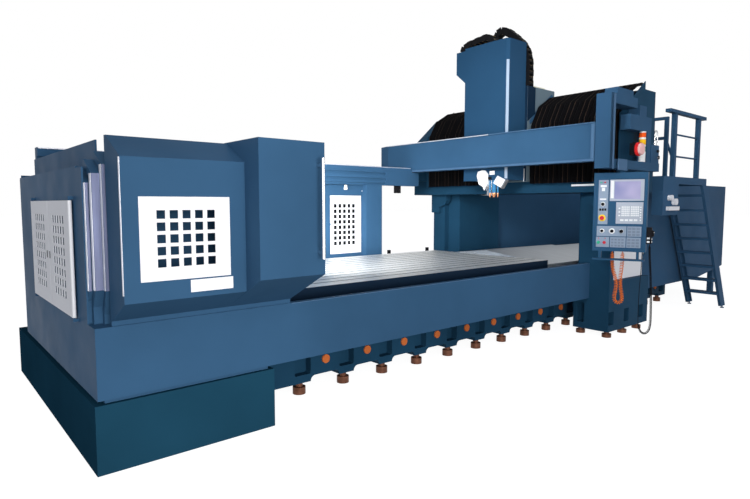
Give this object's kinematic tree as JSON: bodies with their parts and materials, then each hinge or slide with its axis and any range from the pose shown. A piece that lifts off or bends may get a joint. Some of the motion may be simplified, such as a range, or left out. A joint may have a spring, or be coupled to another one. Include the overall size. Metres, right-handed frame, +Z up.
{
  "type": "gantry machining center",
  "caption": "Double-column milling machine: a long sliding table passes under a cross rail that carries a saddle and a vertical ram with its spindle, with guards, a pendant and a ladder.",
  "frame": {"origin": "on the floor under the spindle line, at the middle levelling foot of the middle row", "axes": "+X along the bed and table toward the ladder end, +Y from the operator side to the far side, +Z up"},
  "size_m": [12.255, 4.6598, 4.5887],
  "materials": {
    "casting_blue": "satin enamel",
    "guard_blue": "satin enamel",
    "tank_blue": "satin enamel",
    "ram_blue": "satin enamel",
    "pendant_blue": "satin enamel",
    "foot_copper": "worn",
    "plug_orange": "matte",
    "table_grey": "machined",
    "cover_steel": "brushed",
    "saddle_grey": "satin enamel",
    "bellows_black": "coated cloth",
    "spindle_steel": "ground",
    "motor_black": "satin",
    "signal_white": "gloss",
    "vent_white": "satin enamel",
    "handle_chrome": "polished",
    "panel_white": "satin enamel",
    "chain_black": "moulded",
    "handwheel_black": "moulded",
    "cable_black": "sheathed",
    "hose_orange": "polyurethane"
  },
  "bodies": {
    "frame": {"bed": "casting_blue", "levelling_feet": "foot_copper", "bed_plugs": "plug_orange", "coolant_tank": "tank_blue", "side_trays": "guard_blue", "end_tray": "guard_blue", "column_near": "casting_blue", "column_far": "casting_blue", "cross_rail": "casting_blue", "bellows_near": "bellows_black", "bellows_far": "bellows_black", "beam_cover": "guard_blue", "tower": "guard_blue", "servo_motor": "motor_black", "signal_tower": "signal_white", "end_wall": "guard_blue", "far_guard": "guard_blue", "rear_enclosure": "guard_blue", "platform": "guard_blue", "ladder": "guard_blue", "way_cover_ends": "cover_steel", "white_panels": "panel_white"},
    "table": {"table": "table_grey", "way_cover_right_1": "cover_steel", "way_cover_left_1": "cover_steel"},
    "cover_right_2": {"way_cover_right_2": "cover_steel"},
    "cover_right_3": {"way_cover_right_3": "cover_steel"},
    "cover_left_2": {"way_cover_left_2": "cover_steel"},
    "cover_left_3": {"way_cover_left_3": "cover_steel"},
    "saddle": {"saddle": "saddle_grey", "saddle_chain": "chain_black"},
    "ram": {"ram": "ram_blue", "spindle_head": "spindle_steel", "ram_chain": "chain_black"},
    "spindle": {"spindle_nose": "spindle_steel"},
    "end_door_near": {"end_door_near": "vent_white"},
    "end_door_far": {"end_door_far": "vent_white"},
    "far_vent_door": {"far_vent_door": "vent_white"},
    "near_guard": {"near_guard": "guard_blue", "guard_window": "vent_white", "guard_handle": "handle_chrome"},
    "pendant": {"pendant": "pendant_blue", "handwheel": "handwheel_black", "handwheel_cable": "cable_black", "air_hose": "hose_orange"}
  },
  "joints": [
    {"name": "table_travel", "type": "slide", "parent": "frame", "child": "table", "axis": [1, 0, 0], "range_m": [0, 4.1]},
    {"name": "cover_right_2_slide", "type": "slide", "parent": "frame", "child": "cover_right_2", "axis": [1, 0, 0], "range_m": [0, 2.74]},
    {"name": "cover_right_3_slide", "type": "slide", "parent": "frame", "child": "cover_right_3", "axis": [1, 0, 0], "range_m": [0, 1.37]},
    {"name": "cover_left_2_slide", "type": "slide", "parent": "frame", "child": "cover_left_2", "axis": [1, 0, 0], "range_m": [0, 2.74]},
    {"name": "cover_left_3_slide", "type": "slide", "parent": "frame", "child": "cover_left_3", "axis": [1, 0, 0], "range_m": [0, 1.37]},
    {"name": "saddle_travel", "type": "slide", "parent": "frame", "child": "saddle", "axis": [0, 1, 0], "range_m": [-0.895, 1.105], "deforming": ["bellows_near", "bellows_far"]},
    {"name": "ram_travel", "type": "slide", "parent": "saddle", "child": "ram", "axis": [0, 0, 1], "range_m": [-0.8, 0]},
    {"name": "spindle_spin", "type": "hinge", "parent": "ram", "child": "spindle", "pos_m": [0.076, -0.105, 2.07], "axis": [0, 0, 1], "continuous": true},
    {"name": "end_door_near_swing", "type": "hinge", "parent": "frame", "child": "end_door_near", "pos_m": [-5.872, -0.938, 1.49], "axis": [0, 0, 1], "range_deg": [0, 110]},
    {"name": "end_door_far_swing", "type": "hinge", "parent": "frame", "child": "end_door_far", "pos_m": [-5.872, 0.578, 1.49], "axis": [0, 0, 1], "range_deg": [-110, 0]},
    {"name": "far_vent_door_swing", "type": "hinge", "parent": "frame", "child": "far_vent_door", "pos_m": [-1.247, 1.424, 1.58], "axis": [0, 0, 1], "range_deg": [-110, 0]},
    {"name": "near_guard_slide", "type": "slide", "parent": "frame", "child": "near_guard", "axis": [1, 0, 0], "range_m": [0, 1.3]},
    {"name": "pendant_swing", "type": "hinge", "parent": "frame", "child": "pendant", "pos_m": [0.152, -2.09, 2.29], "axis": [0, 0, 1], "range_deg": [-45, 75]}
  ],
  "couplings": [
    {"joint": "cover_right_2_slide", "follows": "table_travel", "ratio": 0.66667},
    {"joint": "cover_right_3_slide", "follows": "table_travel", "ratio": 0.33333},
    {"joint": "cover_left_2_slide", "follows": "table_travel", "ratio": 0.66667},
    {"joint": "cover_left_3_slide", "follows": "table_travel", "ratio": 0.33333}
  ]
}
